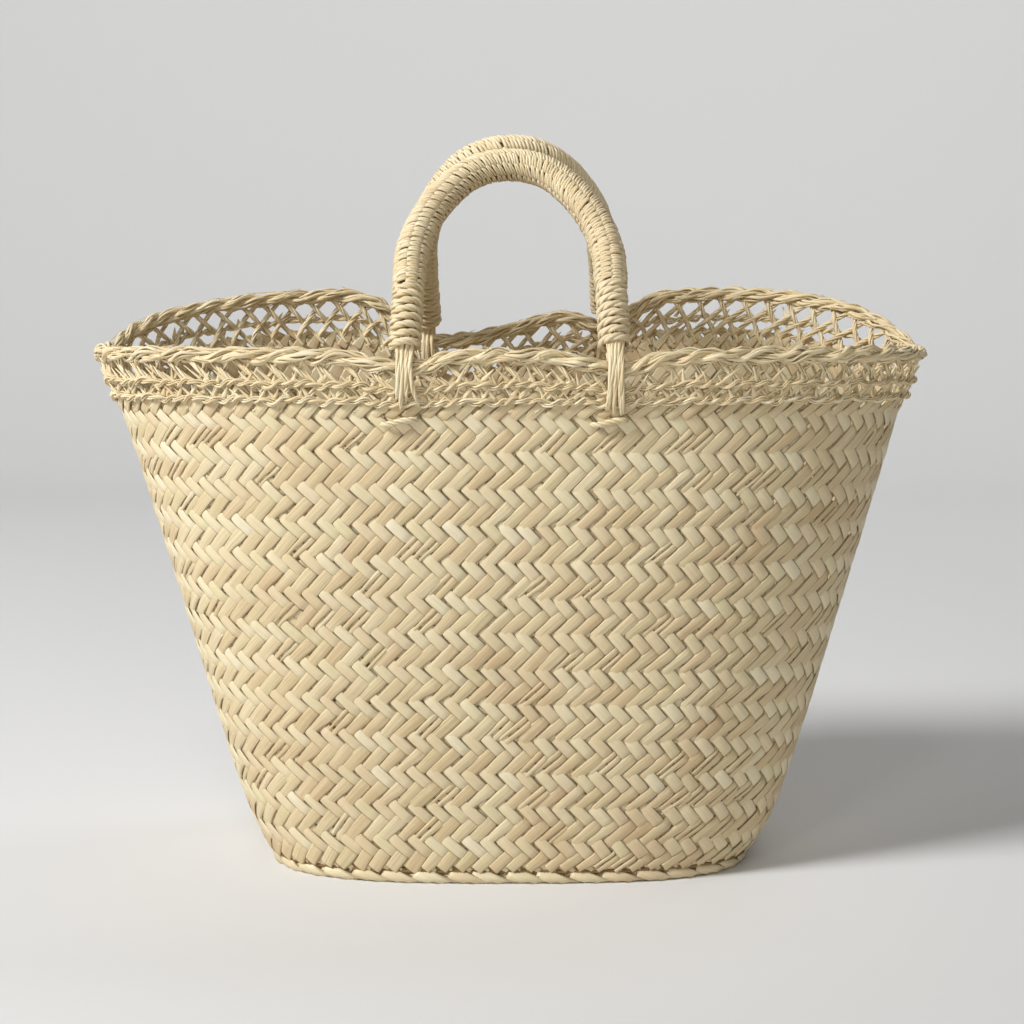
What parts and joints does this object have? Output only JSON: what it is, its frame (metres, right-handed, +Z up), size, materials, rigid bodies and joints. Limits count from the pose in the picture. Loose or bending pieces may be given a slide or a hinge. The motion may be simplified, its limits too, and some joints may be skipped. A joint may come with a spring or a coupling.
{
  "type": "woven market basket",
  "caption": "Oval plaited palm-leaf market basket with openwork border, braided rim and a pair of swinging wrapped rope handles.",
  "frame": {"origin": "centre of the underside of the base, on the surface that the basket stands on", "axes": "+Z up, +X along the basket's long axis to the right seen from the front, front side faces -Y"},
  "size_m": [0.496, 0.2344, 0.4322],
  "materials": {
    "palm_weave": "plaited split palm leaf, dry and matte with a faint natural sheen",
    "palm_border": "twisted palm-leaf strands",
    "palm_cord": "thin twisted palm cord",
    "handle_wrap": "close turns and plait of palm cord",
    "rope_core": "coarse bundled palm rope"
  },
  "bodies": {
    "basket": {"base_panel": "palm_weave", "base_hem": "palm_weave", "wall_course_01": "palm_weave", "wall_course_02": "palm_weave", "wall_course_03": "palm_weave", "wall_course_04": "palm_weave", "wall_course_05": "palm_weave", "wall_course_06": "palm_weave", "wall_course_07": "palm_weave", "wall_course_08": "palm_weave", "wall_course_09": "palm_weave", "wall_course_10": "palm_weave", "wall_course_11": "palm_weave", "wall_course_12": "palm_weave", "wall_course_13": "palm_weave", "seam_cord_01": "palm_cord", "seam_cord_02": "palm_cord", "seam_cord_03": "palm_cord", "seam_cord_04": "palm_cord", "seam_cord_05": "palm_cord", "seam_cord_06": "palm_cord", "seam_cord_07": "palm_cord", "seam_cord_08": "palm_cord", "seam_cord_09": "palm_cord", "seam_cord_10": "palm_cord", "seam_cord_11": "palm_cord", "seam_cord_12": "palm_cord", "binding_low": "palm_cord", "binding_mid": "palm_cord", "openwork_left": "palm_border", "openwork_right": "palm_border", "rim_braid": "palm_border", "front_tie_left": "palm_border", "front_anchor_left": "palm_cord", "front_tie_right": "palm_border", "front_anchor_right": "palm_cord", "back_tie_left": "palm_border", "back_anchor_left": "palm_cord", "back_tie_right": "palm_border", "back_anchor_right": "palm_cord"},
    "front_handle": {"front_handle_core": "rope_core", "front_handle_sheath": "handle_wrap", "front_whipping_left": "handle_wrap", "front_whipping_right": "handle_wrap"},
    "back_handle": {"back_handle_core": "rope_core", "back_handle_sheath": "handle_wrap", "back_whipping_left": "handle_wrap", "back_whipping_right": "handle_wrap"}
  },
  "joints": [
    {"name": "front_handle_swing", "type": "hinge", "parent": "basket", "child": "front_handle", "pos_m": [0, -0.1086, 0.3095], "axis": [1, 0, 0], "range_deg": [0, 104]},
    {"name": "back_handle_swing", "type": "hinge", "parent": "basket", "child": "back_handle", "pos_m": [0.004, 0.1086, 0.3185], "axis": [-0.9982, 0, -0.0607], "range_deg": [0, 104]}
  ]
}
